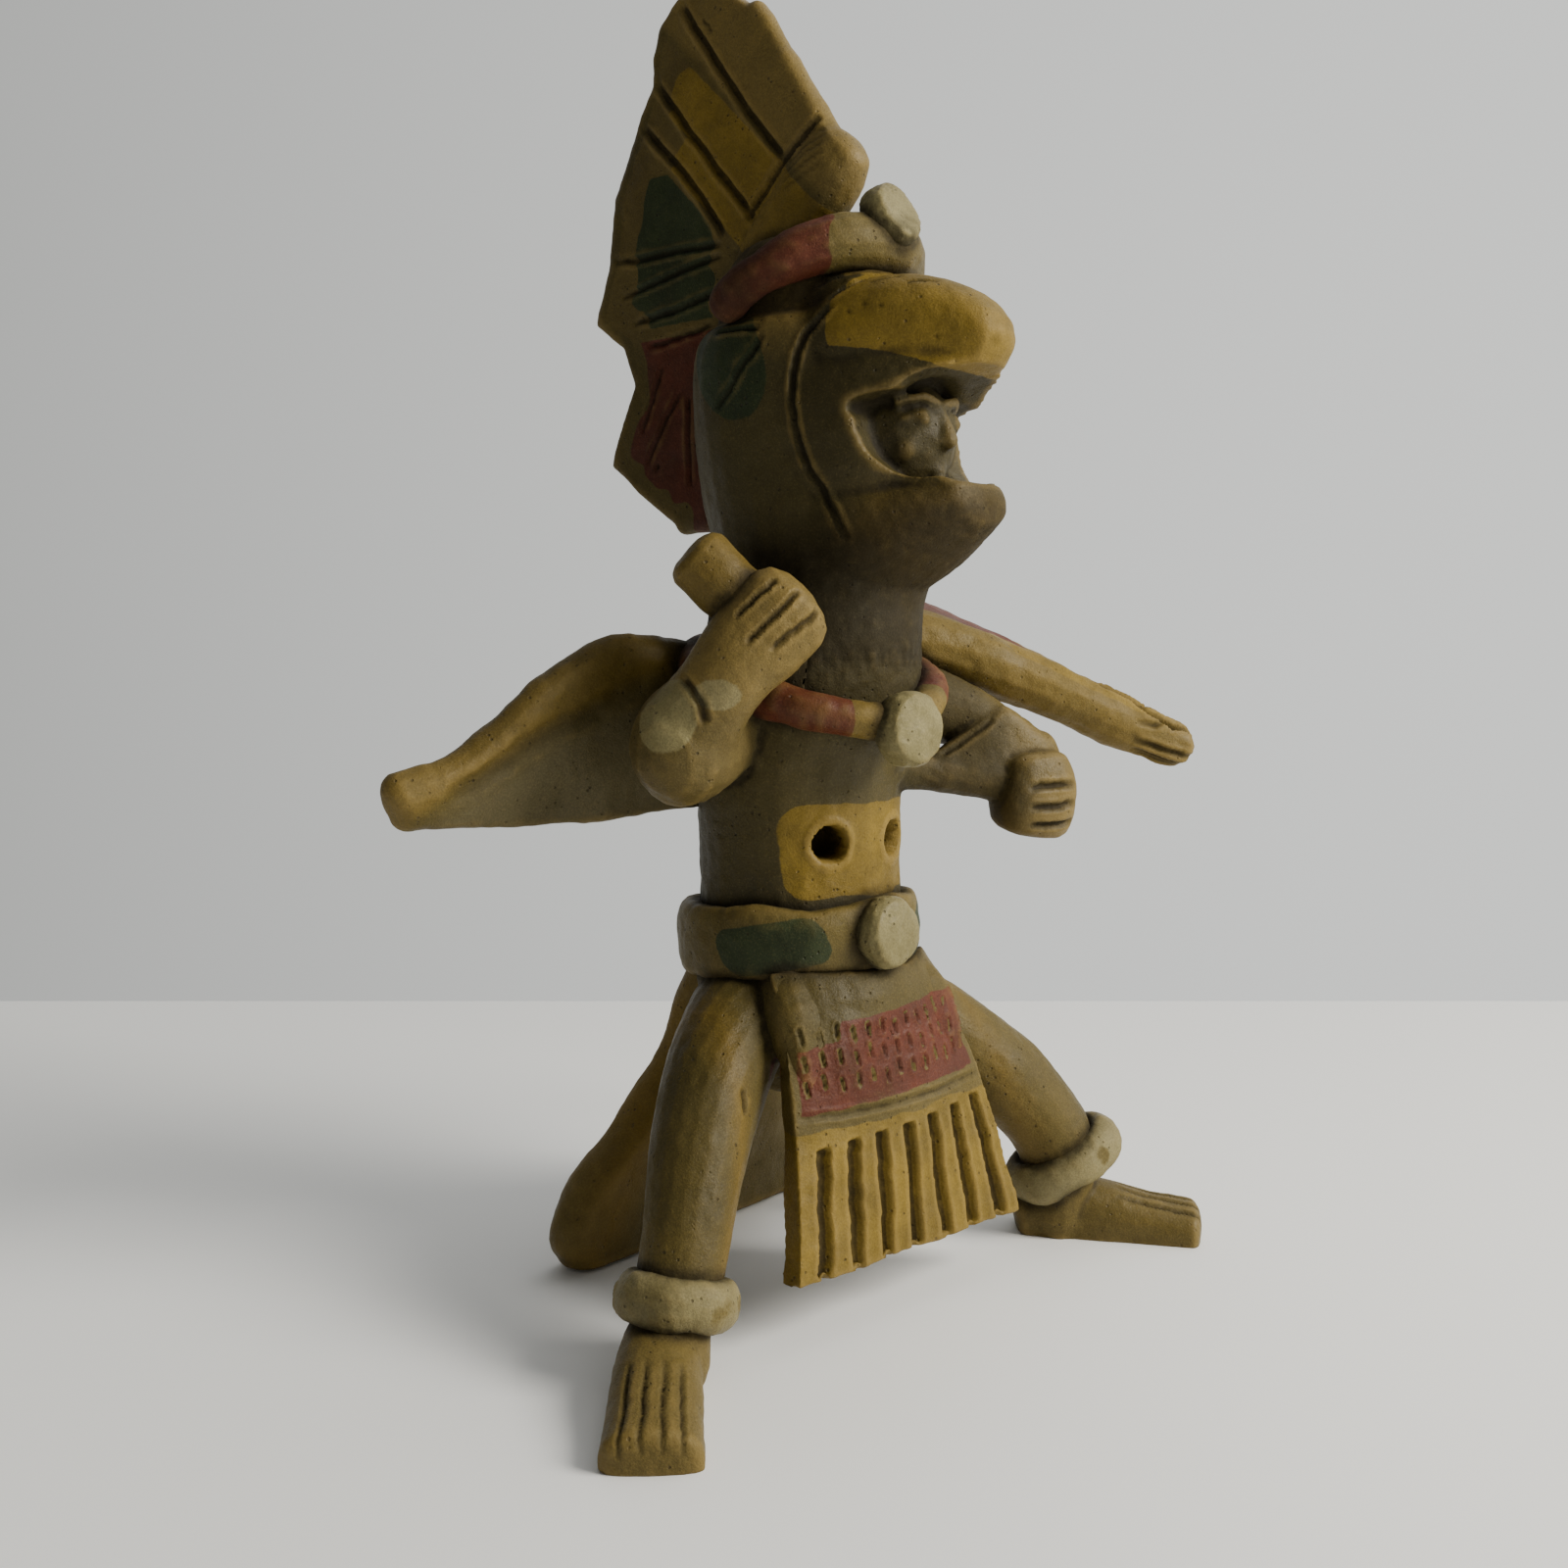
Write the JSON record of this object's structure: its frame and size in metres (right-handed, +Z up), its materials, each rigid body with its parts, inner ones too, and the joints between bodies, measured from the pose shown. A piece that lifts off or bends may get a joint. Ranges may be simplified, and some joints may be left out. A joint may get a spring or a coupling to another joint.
{
  "type": "clay warrior figurine",
  "caption": "Hand-modelled painted clay figurine of a standing warrior in an open-beaked eagle helmet with a feather crest, wings, apron and fanned tail.",
  "frame": {"origin": "on the floor under the middle of the figure's outline", "axes": "+Z up, the front of the body faces -Y, the figure's right hand is at -X"},
  "size_m": [0.1756, 0.112, 0.274],
  "materials": {
    "painted_clay": "fired clay with earth paints rubbed in and lightly burnished"
  },
  "bodies": {
    "root": {"clay_warrior_figurine": "painted_clay"}
  },
  "joints": []
}
